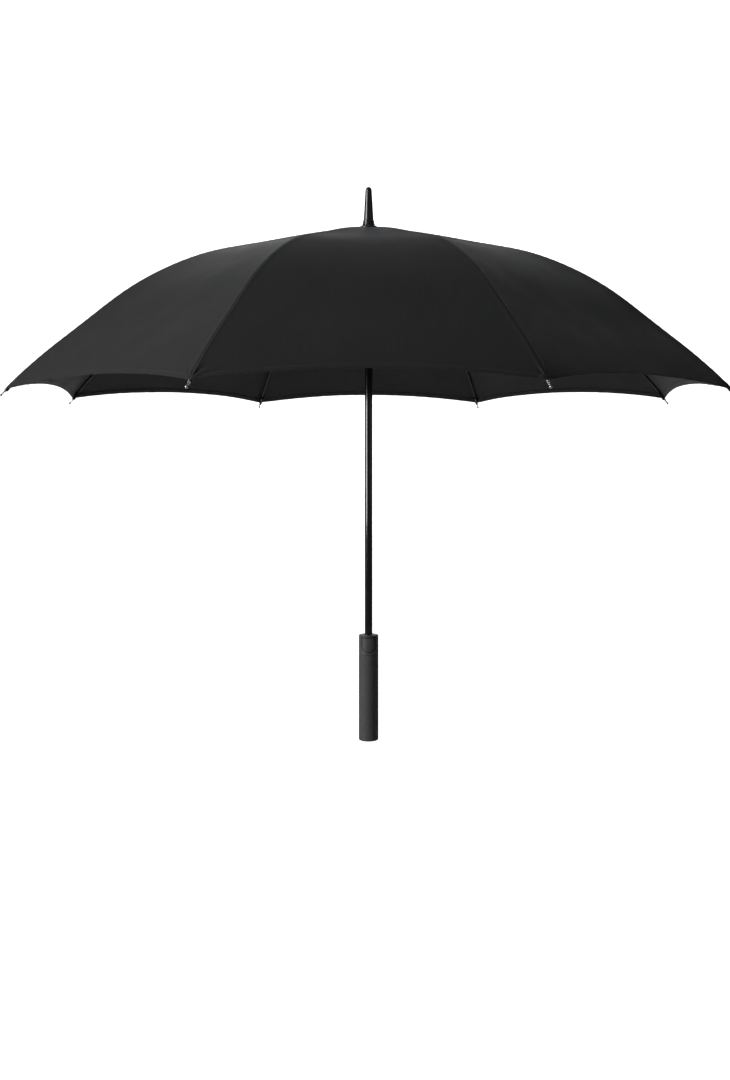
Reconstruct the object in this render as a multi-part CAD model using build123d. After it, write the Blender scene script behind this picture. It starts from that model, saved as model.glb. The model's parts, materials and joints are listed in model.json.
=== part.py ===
"""Golf umbrella, open. Millimetres, +Z up, origin at the centre of the handle's bottom, push button facing -Y."""

import os
from math import asin, atan2, cos, degrees, hypot, radians, sin

from build123d import *

os.makedirs("parts", exist_ok=True)

# ---- canopy and ribs ----
RIB_COUNT = 8
HALF_GORE = 180 / RIB_COUNT
# rib centre line as (radius, height), from the crown pivot out to the corner of the cloth
RIB_LINE = [(11, 921), (77, 914.5), (141, 901.5), (218, 884), (295, 866), (372, 835), (442, 793.5), (513, 737),
            (577, 684.5), (641, 623)]
CLOTH_OVER_RIB = 3.4
CLOTH_THICK = 0.5
CLOTH_EYE = 8.4
CLOTH_EYE_Z = 926.0
SEAM_GAP = 0.05
PANEL_SECTIONS = 20
CORNER_R = 641.0
HEM_MID_R = 577.0
ROD_R = 2.0
OUTER_ROD_R = 1.7
BLADE_THICK = 1.6
EYE_R = 2.6
CROWN_BLADE = 13.0

# ---- stretcher linkage: both chords are equal, so the runner moves exactly along the shaft ----
PIVOT_R = 11.0
CROWN_Z = 921.0
CHORD = 330.0
PIN_DROP = 5.0
PIN_R = 1.0
STRETCHER_R = 1.5
STRETCHER_BLADE = 10.0
STRETCHER_NECK = 24.0
STRETCHER_NECK_HALF = 1.3
EAR_GAP = 2.0
EAR_THICK = 1.2
SLEEVE_R = 2.7
FIT = 0.03
SLEEVE_LENGTH = 14.0
KNUCKLE_PAST_PIN = 12.0
OUTER_KNUCKLE_R = 470.0
KNUCKLE_GAP = 1.2
KNUCKLE_PLAY = 0.05
WIRE_R = 0.55
WIRE_HOLE_R = 0.7

# ---- rib tips ----
TIP_SOCKET = 20.0
TIP_SOCKET_R = 2.2
TIP_PLUG = 2.0
TIP_STUB = 9.0
TIP_STUB_R = 1.3
TIP_BALL_R = 2.2

# ---- shaft, ferrule and crown ----
SHAFT_R = 7.0
SHAFT_WALL = 0.8
SHAFT_BOTTOM = 8.0
SHAFT_TOP = 940.0
KEYWAY_WIDTH = 2.6
KEYWAY_BOTTOM = 205.0
KEYWAY_TOP = 790.0
SPRING_SEAT = 198.0
CROWN_R = 14.0
CROWN_UP = 4.5
CROWN_DOWN = 5.0
CROWN_NECK = 8.0
CROWN_NECK_R = 8.0
SLOT_WIDTH = 2.0
SLOT_FLOOR_R = 8.2
ROSETTE_R = 16.5
ROSETTE_Z = 926.7
ROSETTE_TOP = 931.5
FERRULE_TOP = 1002.0
FERRULE_TIP_R = 5.9

# ---- runner ----
RUNNER_BORE_R = 7.05
RUNNER_R = 10.5
RUNNER_LIP_R = 12.5
RUNNER_LENGTH = 58.0
RUNNER_LIP = 6.0
KEY_WIDTH = 2.2
KEY_INNER_R = 3.5
KEY_DROP = 2.0
KEY_HEIGHT = 10.0
OPENING_SPRING_R = 5.0
OPENING_WIRE_R = 0.6
OPENING_PITCH = 14.0

# ---- handle and push button ----
HANDLE_R = 17.8
GRIP_TOP = 156.0
HANDLE_TOP = 191.0
GRIP_EDGE = 3.0
GROOVE = 0.7
BUTTON_HALF_WIDTH = 12.0
BUTTON_TOP = 187.0
BUTTON_CENTRE_Z = 173.0
BUTTON_PROUD = 0.3
BUTTON_BACK = 11.8
BUTTON_POCKET = 9.0
BUTTON_PLAY = 0.35
STEM_R = 2.2
STEM_END = 7.6
BUTTON_SPRING_R = 3.4
BUTTON_WIRE_R = 0.25
BUTTON_SPRING_TURNS = 3

# ---- tie strap ----
STRAP_WIDTH = 18.0
STRAP_FROM_SEAM = 8.0
STRAP_START_R = 486.0
STRAP_END_R = 606.0
STRAP_THICK = 1.0
STRAP_LIFT = 0.25
STRAP_SECTIONS = 6
SNAP_R = 5.5
SNAP_THICK = 2.4

SIN_HALF = sin(radians(HALF_GORE))
COS_HALF = cos(radians(HALF_GORE))
RIB_CURVE = Spline(*[(r, 0, z) for r, z in RIB_LINE])
CLOTH_LINE = [(CLOTH_EYE, CLOTH_EYE_Z), (20, 925.4)]
CLOTH_LINE = CLOTH_LINE + [(r, z + CLOTH_OVER_RIB) for r, z in RIB_LINE[1:]]
CLOTH_CURVE = Spline(*[(r, 0, z) for r, z in CLOTH_LINE])


def bisect(test, low, high):
    """The value between low and high at which test turns from below zero to above it."""
    for _ in range(50):
        middle = (low + high) / 2
        if test(middle) < 0:
            low = middle
        else:
            high = middle
    return middle


def at_radius(curve, radius):
    """The place along a curve, 0 to 1, that has this radius."""
    return bisect(lambda t: (curve @ t).X - radius, 0, 1)


def rib_normal(t):
    """Upward normal of the rib's centre line, in the plane of the rib."""
    along = RIB_CURVE % t
    return Vector(-along.Z, 0, along.X)


def pin_at(t):
    return RIB_CURVE @ t - rib_normal(t) * PIN_DROP


CROWN_PIVOT = Vector(PIVOT_R, 0, CROWN_Z)
PIN_T = bisect(lambda t: (pin_at(t) - CROWN_PIVOT).length - CHORD, 0.2, 0.8)
PIN = pin_at(PIN_T)
RUNNER_PIVOT = Vector(PIVOT_R, 0, 2 * PIN.Z - CROWN_Z)
CURVE_LENGTH = RIB_CURVE.length
KNUCKLE_T = PIN_T + KNUCKLE_PAST_PIN / CURVE_LENGTH
OUTER_KNUCKLE_T = at_radius(RIB_CURVE, OUTER_KNUCKLE_R)
ROD_END_T = 1 - TIP_PLUG / CURVE_LENGTH


def along_rib(start, end, radius):
    """A round rod of this radius along the rib's centre line."""
    points = [RIB_CURVE @ (start + (end - start) * k / 6) for k in range(7)]
    path = Spline(*points, tangents=(RIB_CURVE % start, RIB_CURVE % end))
    return sweep(Plane(origin=path @ 0, z_dir=path % 0) * Circle(radius), path=path)


def rib_plane(t):
    """Plane at a place on the rib: x along the rib, z upwards, y across."""
    return Plane(origin=RIB_CURVE @ t, x_dir=RIB_CURVE % t, z_dir=rib_normal(t))


def blade(start, end, length, hole, half_height=0.8 * EYE_R):
    """Flat eyelet around start, reaching length towards end."""
    towards = (end - start).normalized()
    frame = Plane(origin=start, x_dir=towards, z_dir=(0, -1, 0))
    outline = Circle(EYE_R) + Pos(length / 2, 0) * Rectangle(length, 2 * half_height) - Circle(hole)
    return extrude(frame * outline, BLADE_THICK / 2, both=True)


def cupped(rod, t, radius):
    """The rod with a shallow cup for the knuckle ball of the next one."""
    return rod - Pos(*(RIB_CURVE @ t)) * Sphere(radius + KNUCKLE_PLAY)


def rib_inner():
    blade_t = CROWN_BLADE / CURVE_LENGTH
    end_t = KNUCKLE_T - KNUCKLE_GAP / CURVE_LENGTH
    rod = cupped(along_rib(blade_t, end_t, ROD_R), KNUCKLE_T, ROD_R)
    root = blade(CROWN_PIVOT, RIB_CURVE @ blade_t, CROWN_BLADE + 5, WIRE_HOLE_R)
    frame = rib_plane(PIN_T)
    across = Plane(origin=frame.origin, z_dir=frame.x_dir)
    sleeve = extrude(across * Circle(SLEEVE_R), SLEEVE_LENGTH / 2, both=True)
    side = Plane(origin=frame.origin, x_dir=frame.x_dir, z_dir=(0, -1, 0))
    ear_outline = Pos(0, -PIN_DROP) * Circle(3) + Pos(0, -PIN_DROP / 2) * Rectangle(6, PIN_DROP)
    ears = extrude(side * ear_outline, EAR_GAP / 2 + EAR_THICK, both=True)
    gap = extrude(side * Pos(0, -PIN_DROP - ROD_R) * Rectangle(20, 2 * PIN_DROP - 0.4), EAR_GAP / 2, both=True)
    pin = extrude(side * Pos(0, -PIN_DROP) * Circle(PIN_R), EAR_GAP / 2 + EAR_THICK + 0.4, both=True)
    bracket = sleeve + ears - gap - extrude(side * Pos(0, -PIN_DROP) * Circle(PIN_R + FIT), 5, both=True)
    span = SLEEVE_LENGTH / CURVE_LENGTH
    bracket = bracket - along_rib(PIN_T - span, PIN_T + span, ROD_R + FIT)
    return Compound(children=[rod + root, bracket, pin])


def rib_mid():
    end_t = OUTER_KNUCKLE_T - KNUCKLE_GAP / CURVE_LENGTH
    rod = cupped(along_rib(KNUCKLE_T, end_t, ROD_R), OUTER_KNUCKLE_T, ROD_R)
    return rod + Pos(*(RIB_CURVE @ KNUCKLE_T)) * Sphere(ROD_R)


def rib_outer():
    ball = Pos(*(RIB_CURVE @ OUTER_KNUCKLE_T)) * Sphere(OUTER_ROD_R)
    return along_rib(OUTER_KNUCKLE_T, ROD_END_T, OUTER_ROD_R) + ball


def rib_tip():
    start = 1 - TIP_SOCKET / CURVE_LENGTH
    socket = along_rib(start, 1, TIP_SOCKET_R)
    socket = socket - along_rib(start - 0.01, ROD_END_T + FIT / CURVE_LENGTH, OUTER_ROD_R + FIT)
    end = RIB_CURVE @ 1
    outward = RIB_CURVE % 1
    stub = extrude(Plane(origin=end, z_dir=outward) * Circle(TIP_STUB_R), TIP_STUB)
    stub = extrude(Plane(origin=end, z_dir=outward) * Circle(TIP_STUB_R), TIP_STUB)
    shoulder = extrude(Plane(origin=end + outward * FIT, z_dir=outward) * Circle(TIP_SOCKET_R), 1.2)
    ball = Pos(*(end + outward * TIP_STUB)) * Sphere(TIP_BALL_R)
    return socket + stub + ball


def stretcher():
    inner = RUNNER_PIVOT
    towards = (PIN - inner).normalized()
    start = inner + towards * STRETCHER_BLADE
    bar_length = CHORD - STRETCHER_BLADE - STRETCHER_NECK
    bar = extrude(Plane(origin=start, z_dir=towards) * Circle(STRETCHER_R), bar_length)
    bar = bar + blade(inner, PIN, STRETCHER_BLADE + 4, WIRE_HOLE_R)
    return bar + blade(PIN, inner, STRETCHER_NECK + 4, PIN_R + 0.05, STRETCHER_NECK_HALF)


def on_gore(start_r, end_r, count, left, right, lift, thick):
    """A strip of cloth on the taut gore facing +X; left and right give its edges at a radius."""
    sections = []
    for k in range(count + 1):
        radius = start_r + (end_r - start_r) * k / count
        low = (CLOTH_CURVE @ at_radius(CLOTH_CURVE, radius)).Z + lift
        x = radius * COS_HALF
        corners = [(x, left(radius), low), (x, right(radius), low), (x, right(radius), low + thick),
                   (x, left(radius), low + thick)]
        sections.append(Face(Wire.make_polygon(corners, close=True)))
    return loft(sections)


def canopy_panel():
    def edge(radius):
        return radius * SIN_HALF - SEAM_GAP

    gore = on_gore(CLOTH_EYE, CORNER_R, PANEL_SECTIONS, lambda r: -edge(r), edge, 0, CLOTH_THICK)
    chord_r = CORNER_R * COS_HALF
    sag = chord_r - HEM_MID_R
    scallop_r = ((CORNER_R * SIN_HALF) ** 2 + sag**2) / (2 * sag)
    scallop = Pos(HEM_MID_R + scallop_r, 0, CROWN_Z / 2) * Cylinder(scallop_r, 2 * CROWN_Z)
    return gore - scallop


def strap_edge(radius):
    return radius * SIN_HALF - STRAP_FROM_SEAM


def tie_strap():
    def inner_edge(radius):
        return strap_edge(radius) - STRAP_WIDTH

    lift = CLOTH_THICK + STRAP_LIFT
    return on_gore(STRAP_START_R, STRAP_END_R, STRAP_SECTIONS, inner_edge, strap_edge, lift, STRAP_THICK)


def strap_snap():
    radius = STRAP_END_R - 12
    t = at_radius(CLOTH_CURVE, radius)
    slope = CLOTH_CURVE % t
    place = Vector(radius * COS_HALF, strap_edge(radius) - STRAP_WIDTH / 2, (CLOTH_CURVE @ t).Z)
    out = Vector(-slope.Z, 0, slope.X * COS_HALF).normalized()
    low = place + out * (CLOTH_THICK + STRAP_LIFT + STRAP_THICK + 0.1)
    disc = extrude(Plane(origin=low, z_dir=out) * Circle(SNAP_R), SNAP_THICK)
    return fillet(disc.edges().sort_by(Axis(low, out))[-1], 1.0)


def turned(points):
    """Solid of revolution about Z from (radius, height) points."""
    return revolve(Plane.XZ * make_face(Polyline(*points, close=True)), Axis.Z)


def tooth_slots(z_low, z_high):
    slot = Box(20 - SLOT_FLOOR_R, SLOT_WIDTH, z_high - z_low)
    slot = Pos((SLOT_FLOOR_R + 20) / 2, 0, (z_low + z_high) / 2) * slot
    slots = []
    for k in range(RIB_COUNT):
        slots.append(Rot(Z=HALF_GORE + k * 2 * HALF_GORE) * slot)
    return slots


def wire_groove(z, top):
    outer = Pos(0, 0, (z - 0.6 + top) / 2) * Cylinder(PIVOT_R + 0.6, top - z + 0.6)
    return outer - Pos(0, 0, z) * Cylinder(PIVOT_R - 0.6, 40)


def crown():
    low = CROWN_Z - CROWN_DOWN
    high = CROWN_Z + CROWN_UP
    neck = low - CROWN_NECK
    body = turned([(SHAFT_R, neck), (CROWN_NECK_R, neck), (CROWN_NECK_R, low), (CROWN_R, low), (CROWN_R, high),
                   (SHAFT_R, high)])
    body = body - tooth_slots(low - 1, high + 1) - wire_groove(CROWN_Z, high + 1)
    wire = Pos(0, 0, CROWN_Z) * Torus(PIVOT_R, WIRE_R)
    return Compound(children=[body, wire])


def runner():
    z = RUNNER_PIVOT.Z
    bottom = z - RUNNER_LENGTH
    outline = [(RUNNER_BORE_R, bottom), (RUNNER_LIP_R, bottom), (RUNNER_LIP_R, bottom + RUNNER_LIP),
               (RUNNER_R, bottom + RUNNER_LIP + 3), (RUNNER_R, z - 8), (CROWN_R, z - 4), (CROWN_R, z + 4.5),
               (RUNNER_BORE_R, z + 4.5)]
    body = turned(outline) - tooth_slots(z - 3.9, z + 6) - wire_groove(z, z + 6)
    key_top = z - KEY_DROP
    key_reach = RUNNER_BORE_R + 0.4 - KEY_INNER_R
    key = Pos(0, KEY_INNER_R + key_reach / 2, key_top - KEY_HEIGHT / 2) * Box(KEY_WIDTH, key_reach, KEY_HEIGHT)
    wire = Pos(0, 0, z) * Torus(PIVOT_R, WIRE_R)
    return Compound(children=[body + key, wire])


def shaft_tube():
    tube = turned([(SHAFT_R - SHAFT_WALL, SHAFT_BOTTOM), (SHAFT_R, SHAFT_BOTTOM), (SHAFT_R, SHAFT_TOP),
                   (SHAFT_R - SHAFT_WALL, SHAFT_TOP)])
    keyway = Box(KEYWAY_WIDTH, 4, KEYWAY_TOP - KEYWAY_BOTTOM)
    keyway = Pos(0, SHAFT_R, (KEYWAY_BOTTOM + KEYWAY_TOP) / 2) * keyway
    stem_way = Plane(origin=(0, -SHAFT_R - 2, BUTTON_CENTRE_Z), z_dir=(0, 1, 0)) * Circle(STEM_R + 0.4)
    seat = Pos(0, 0, SPRING_SEAT - 5) * Cylinder(SHAFT_R - SHAFT_WALL - FIT, 10)
    return Compound(children=[tube - keyway - extrude(stem_way, 4), seat])


def ferrule():
    """Tapered tip with a step ring near its foot and a rounded end."""
    foot = [(SHAFT_R, ROSETTE_TOP), (12, ROSETTE_TOP), (10.4, 937.5), (10.4, 940.5), (9.2, 941.5), (9, 944)]
    end = [(FERRULE_TIP_R, FERRULE_TOP - 5.5), (4.5, FERRULE_TOP - 2.2), (2.4, FERRULE_TOP - 0.4), (0, FERRULE_TOP)]
    return turned(foot + end + [(0, SHAFT_TOP), (SHAFT_R, SHAFT_TOP)])


def rosette():
    rim = [(ROSETTE_R, ROSETTE_Z), (ROSETTE_R, ROSETTE_Z + 2), (ROSETTE_R - 1, ROSETTE_Z + 3.5)]
    return turned([(SHAFT_R, ROSETTE_Z)] + rim + [(13, ROSETTE_TOP), (SHAFT_R, ROSETTE_TOP)])


def handle_grip():
    body = Pos(0, 0, GRIP_TOP / 2) * Cylinder(HANDLE_R, GRIP_TOP)
    edges = body.edges().filter_by(GeomType.CIRCLE).sort_by(Axis.Z)
    body = fillet(edges[0], GRIP_EDGE)
    body = chamfer(body.edges().filter_by(GeomType.CIRCLE).sort_by(Axis.Z)[-1], GROOVE)
    return body - Pos(0, 0, (SHAFT_BOTTOM + GRIP_TOP + 1) / 2) * Cylinder(SHAFT_R, GRIP_TOP + 1 - SHAFT_BOTTOM)


def button_outline(grow):
    """The button's outline in the XZ plane: straight top, half-round bottom."""
    half = BUTTON_HALF_WIDTH + grow
    top = BUTTON_TOP + grow
    block = Pos(0, (BUTTON_CENTRE_Z + top) / 2) * Rectangle(2 * half, top - BUTTON_CENTRE_Z)
    return Pos(0, BUTTON_CENTRE_Z) * Circle(half) + block


def front_prism(sketch, near, far):
    """The sketch pushed from y = -near to y = -far; its x and y become the part's x and z."""
    return extrude(Plane(origin=(0, -near, 0), x_dir=(1, 0, 0), z_dir=(0, -1, 0)) * sketch, far - near)


def button_collar():
    height = HANDLE_TOP - GRIP_TOP
    body = Pos(0, 0, GRIP_TOP + height / 2) * Cylinder(HANDLE_R, height)
    edges = body.edges().filter_by(GeomType.CIRCLE).sort_by(Axis.Z)
    body = chamfer(edges[0], GROOVE)
    body = fillet(body.edges().filter_by(GeomType.CIRCLE).sort_by(Axis.Z)[-1], 1.5)
    body = body - Pos(0, 0, GRIP_TOP + height / 2) * Cylinder(SHAFT_R, height + 2)
    body = body - front_prism(button_outline(BUTTON_PLAY), BUTTON_POCKET, 25)
    return body - front_prism(Pos(0, BUTTON_CENTRE_Z) * Circle(STEM_R + 0.05), 0, 12)


def push_button():
    cap = front_prism(button_outline(0), BUTTON_BACK, 25)
    cap = cap & Pos(0, 0, BUTTON_CENTRE_Z) * Cylinder(HANDLE_R + BUTTON_PROUD, 60)
    return cap + front_prism(Pos(0, BUTTON_CENTRE_Z) * Circle(STEM_R), STEM_END, BUTTON_BACK)


def coil(radius, wire, pitch, height):
    path = Helix(pitch=pitch, height=height, radius=radius)
    return sweep(Plane(origin=path @ 0, z_dir=path % 0) * Circle(wire), path=path, is_frenet=True)


def button_spring():
    room = BUTTON_BACK - BUTTON_POCKET - 2 * BUTTON_WIRE_R - 0.1
    spring = coil(BUTTON_SPRING_R, BUTTON_WIRE_R, room / BUTTON_SPRING_TURNS, room)
    return Pos(0, -BUTTON_POCKET - BUTTON_WIRE_R - 0.05, BUTTON_CENTRE_Z) * Rot(X=90) * spring


def opening_spring():
    room = RUNNER_PIVOT.Z - KEY_DROP - KEY_HEIGHT - SPRING_SEAT - 2 * OPENING_WIRE_R - 0.1
    turns = round(room / OPENING_PITCH)
    spring = coil(OPENING_SPRING_R, OPENING_WIRE_R, room / turns, room)
    return Pos(0, 0, SPRING_SEAT + OPENING_WIRE_R + 0.05) * spring


def save(shape, node):
    export_step(shape, "parts/" + node + ".step")


def save_around(shape, node, offset):
    """One copy of the shape per rib, turned about the shaft."""
    for k in range(RIB_COUNT):
        save(Rot(Z=offset + k * 2 * HALF_GORE) * shape, node + "_" + str(k + 1))


save_around(rib_inner(), "rib_inner", HALF_GORE)
save_around(rib_mid(), "rib_mid", HALF_GORE)
save_around(rib_outer(), "rib_outer", HALF_GORE)
save_around(rib_tip(), "rib_tip", HALF_GORE)
save_around(stretcher(), "stretcher", HALF_GORE)
save_around(canopy_panel(), "canopy_panel", 2 * HALF_GORE)
save(Rot(Z=90) * tie_strap().mirror(Plane.XZ), "tie_strap")
save(Rot(Z=90) * strap_snap().mirror(Plane.XZ), "strap_snap")
save(crown(), "crown")
save(runner(), "runner")
save(shaft_tube(), "shaft_tube")
save(ferrule(), "ferrule")
save(rosette(), "rosette")
save(handle_grip(), "handle_grip")
save(button_collar(), "button_collar")
save(push_button(), "push_button")
save(button_spring(), "button_spring")
save(opening_spring(), "opening_spring")

fold = degrees(asin((CROWN_Z - PIN.Z) / CHORD))
print("crown pivot", CROWN_PIVOT, "pin", PIN, "runner pivot", RUNNER_PIVOT)
print("chord below level", round(fold, 4), "deg; curve length", round(CURVE_LENGTH, 2))
for name, t in (("knuckle", KNUCKLE_T), ("outer knuckle", OUTER_KNUCKLE_T), ("corner", 1)):
    here = RIB_CURVE @ t
    slope = RIB_CURVE % t
    print(name, here, "slope", round(degrees(atan2(-slope.Z, hypot(slope.X, slope.Y))), 3))
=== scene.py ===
# %% [markdown]
# # Golf umbrella
# The imported CAD model is the frame: every piece made here is in metres, in the same place as the CAD says.
# Hard parts, such as the shaft, grip and ferrule, keep their CAD shape and get a finish, and so do the springy ribs.
# The cloth canopy and the tie strap are made again here, because cloth needs finer surfaces than a solid model has.

import bpy
import json
import math
import numpy as np
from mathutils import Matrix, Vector


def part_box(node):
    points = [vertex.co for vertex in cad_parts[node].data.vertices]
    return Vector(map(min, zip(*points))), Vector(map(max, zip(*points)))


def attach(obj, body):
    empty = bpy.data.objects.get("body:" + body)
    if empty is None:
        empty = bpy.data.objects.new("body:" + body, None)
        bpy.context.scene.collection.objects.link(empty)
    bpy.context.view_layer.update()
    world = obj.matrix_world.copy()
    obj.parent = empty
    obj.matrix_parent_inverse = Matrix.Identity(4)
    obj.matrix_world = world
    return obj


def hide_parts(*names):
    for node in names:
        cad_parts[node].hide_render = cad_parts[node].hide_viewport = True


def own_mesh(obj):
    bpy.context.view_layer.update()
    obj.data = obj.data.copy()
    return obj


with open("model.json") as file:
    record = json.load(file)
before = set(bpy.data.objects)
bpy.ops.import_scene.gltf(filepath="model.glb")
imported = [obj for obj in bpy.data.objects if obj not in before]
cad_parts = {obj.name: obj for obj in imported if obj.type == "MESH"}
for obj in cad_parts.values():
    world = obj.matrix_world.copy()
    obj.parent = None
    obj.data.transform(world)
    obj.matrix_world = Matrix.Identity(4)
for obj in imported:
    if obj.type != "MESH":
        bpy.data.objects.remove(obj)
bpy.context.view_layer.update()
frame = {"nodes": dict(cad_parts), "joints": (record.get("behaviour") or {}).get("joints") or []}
nodes = frame["nodes"]
joints = {j["name"]: j for j in frame["joints"]}

# %% [markdown]
# ## Camera
# The picture is a level view from a little below the canopy's rim, with the frame slid up so that the tall object
# fills it. Sliding the lens (shift) keeps the shaft upright, which tilting the camera would not.

# %% Camera
picture_width, picture_height = 730, 1080
focal_px = 1320.3
slide_px = (-3.6, -102)
camera_data = bpy.data.cameras.new("camera")
camera_data.sensor_width = 36
camera_data.lens = focal_px / picture_height * 36
camera_data.shift_x, camera_data.shift_y = (slide / picture_height for slide in slide_px)
camera_data.clip_end = 60
camera = bpy.data.objects.new("camera", camera_data)
camera.location = (0, -2.393, 0.547)
camera.rotation_euler = (math.radians(90), 0, 0)
bpy.context.scene.collection.objects.link(camera)
bpy.context.scene.camera = camera
print("lens", round(camera_data.lens, 1), "mm")

# %% [markdown]
# ## Studio
# A pale sweep of paper runs from under the umbrella up behind it. The umbrella is held in the air, as in a hand, so the
# floor lies well below the grip. A sweep could be a bent plane with a bevel; it is made here from a short outline, which
# is moved sideways to give a row of wide faces.

# %% Studio sweep
def add_mesh(name, vertices, faces):
    """A mesh object from lists of points and faces, smooth shaded."""
    data = bpy.data.meshes.new(name)
    data.from_pydata([tuple(v) for v in vertices], [], faces)
    data.polygons.foreach_set("use_smooth", [True] * len(data.polygons))
    data.update()
    piece = bpy.data.objects.new(name, data)
    bpy.context.scene.collection.objects.link(piece)
    return piece


floor_z, bend_start, bend_radius = -2.2, 3.2, 2.6
sweep_line = [(-9, floor_z), (bend_start, floor_z)]
for turn in np.linspace(0.1, math.pi / 2, 14):
    sweep_line.append((bend_start + bend_radius * math.sin(turn), floor_z + bend_radius * (1 - math.cos(turn))))
sweep_line.append((bend_start + bend_radius, 9.0))
sweep_points = [(x, y, z) for y, z in sweep_line for x in (-14, 14)]
sweep_faces = [(2 * k, 2 * k + 1, 2 * k + 3, 2 * k + 2) for k in range(len(sweep_line) - 1)]
studio_sweep = add_mesh("studio_sweep", sweep_points, sweep_faces)
print("sweep has", len(sweep_faces), "faces")

# %% [markdown]
# ### Lights
# A tall soft light stands on the left and gives the shaft its one long highlight. The right side stays dim, so that the
# black parts keep their depth. Two weaker lights behind shape the far side, one above lifts the crown, and two light
# the paper. An area light is used for all, because a large source makes the soft edges that cloth shows best.

# %% Lights
def soft_light(name, place, aim, size, watts):
    data = bpy.data.lights.new(name, "AREA")
    data.shape = "RECTANGLE"
    data.size, data.size_y = size
    data.energy = watts
    light = bpy.data.objects.new(name, data)
    light.location = place
    light.rotation_euler = (Vector(aim) - Vector(place)).to_track_quat("-Z", "Y").to_euler()
    bpy.context.scene.collection.objects.link(light)


light_plan = [("key_left", (-2.7, -1.5, 1.5), (0, 0, 0.55), (1.1, 2.8), 118),
              ("fill_right", (3.0, -2.4, 1.2), (0, 0, 0.7), (1.4, 2.0), 2.5),
              ("top", (-0.6, 0.2, 3.4), (0, 0, 0.8), (2.6, 2.6), 5),
              ("behind_left", (-0.9, 3.4, 1.3), (0, 0, 0.6), (1.6, 2.0), 24),
              ("behind_right", (1.2, 3.3, 1.1), (0, 0, 0.6), (1.4, 2.0), 14),
              ("backdrop_left", (-2.6, 2.4, 3.0), (-2.6, 8.0, 1.6), (2.5, 2.5), 60),
              ("backdrop_right", (2.6, 2.4, 3.0), (2.6, 8.0, 1.6), (2.5, 2.5), 60)]
for plan in light_plan:
    soft_light(*plan)
print("studio has", len(light_plan), "lights")

# %% [markdown]
# ### Studio air
# Light also comes from all round, weakly and a little blue. A camera ray that misses everything should still see clean
# white, so the world mixes two backgrounds and chooses by the kind of ray.

# %% Studio air
world = bpy.data.worlds.new("studio_air")
bpy.context.scene.world = world
world.use_nodes = True
air = world.node_tree
air_light = air.nodes["Background"]
air_light.inputs["Color"].default_value = (0.94, 0.97, 1.0, 1)
air_light.inputs["Strength"].default_value = 0.09
air_seen = air.nodes.new("ShaderNodeBackground")
air_seen.inputs["Color"].default_value = (1, 1, 1, 1)
air_rays = air.nodes.new("ShaderNodeLightPath")
air_mix = air.nodes.new("ShaderNodeMixShader")
air.links.new(air_rays.outputs["Is Camera Ray"], air_mix.inputs[0])
air.links.new(air_light.outputs[0], air_mix.inputs[1])
air.links.new(air_seen.outputs[0], air_mix.inputs[2])
air.links.new(air_mix.outputs[0], air.nodes["World Output"].inputs["Surface"])
bpy.context.scene.view_settings.view_transform = "Standard"
bpy.context.scene.view_settings.look = "None"
print("air strength", round(air_light.inputs["Strength"].default_value, 3))

# %% [markdown]
# ## Building materials
# A material is a small tree of nodes. These helpers add a node and join two sockets, so that each finish below reads as
# a short list. Every finish changes a little over the surface, because nothing real is one flat colour.

# %% Node helpers
def node(tree, kind, **settings):
    """Add a node and set its properties."""
    made = tree.nodes.new(kind)
    for key, value in settings.items():
        setattr(made, key, value)
    return made


def put(made, **values):
    """Set input values by name, with _ for spaces."""
    for key, value in values.items():
        made.inputs[key.replace("_", " ")].default_value = value
    return made


def join(tree, out_node, out_name, in_node, in_name):
    tree.links.new(out_node.outputs[out_name], in_node.inputs[in_name])


def maths(tree, operation, first, second=None):
    """A Math node; each argument is a number or an output socket."""
    made = node(tree, "ShaderNodeMath", operation=operation)
    for slot_number, value in enumerate((first, second)):
        if value is None:
            continue
        if isinstance(value, (int, float)):
            made.inputs[slot_number].default_value = value
        else:
            tree.links.new(value, made.inputs[slot_number])
    return made.outputs[0]


def ramp(tree, value, low, high, low_out=0.0, high_out=1.0):
    """A clamped straight ramp of a value."""
    made = node(tree, "ShaderNodeMapRange", clamp=True)
    tree.links.new(value, made.inputs["Value"])
    put(made, From_Min=low, From_Max=high, To_Min=low_out, To_Max=high_out)
    return made.outputs["Result"]


def blend_colour(tree, share, first, second):
    """A colour between two colours, each a tuple or an output socket."""
    made = node(tree, "ShaderNodeMix", data_type="RGBA")
    tree.links.new(share, made.inputs["Factor"])
    for name, value in (("A", first), ("B", second)):
        target = [s for s in made.inputs if s.name == name and s.type == "RGBA"][0]
        if isinstance(value, tuple):
            target.default_value = (*value, 1)
        else:
            tree.links.new(value, target)
    return [s for s in made.outputs if s.type == "RGBA"][0]


def blotches(tree, scale, detail):
    """Soft noise over the object, from 0 to 1."""
    made = put(node(tree, "ShaderNodeTexNoise"), Scale=scale, Detail=detail, Roughness=0.55)
    join(tree, node(tree, "ShaderNodeTexCoord"), "Object", made, "Vector")
    return made.outputs["Fac"]


def new_finish(name, **shader_values):
    """A material with its Principled shader, and values set on the shader's own sockets."""
    material = bpy.data.materials.new(name)
    material.use_nodes = True
    tree = material.node_tree
    shader = tree.nodes["Principled BSDF"]
    put(shader, **shader_values)
    return material, tree, shader


def bump(tree, shader, height, strength, distance):
    made = put(node(tree, "ShaderNodeBump"), Strength=strength, Distance=distance)
    tree.links.new(height, made.inputs["Height"])
    join(tree, made, "Normal", shader, "Normal")


print("helpers ready")

# %% [markdown]
# ### Wear group
# Rub marks and dust turn up on several finishes, so they are one node group with named values. It puts out a mask of
# rubbed edges, from the difference between the true normal and a rounded one, and a mask of faint dust.

# %% Wear group
def add_socket(group, name, way, kind="NodeSocketFloat"):
    return group.interface.new_socket(name, in_out=way, socket_type=kind)


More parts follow.
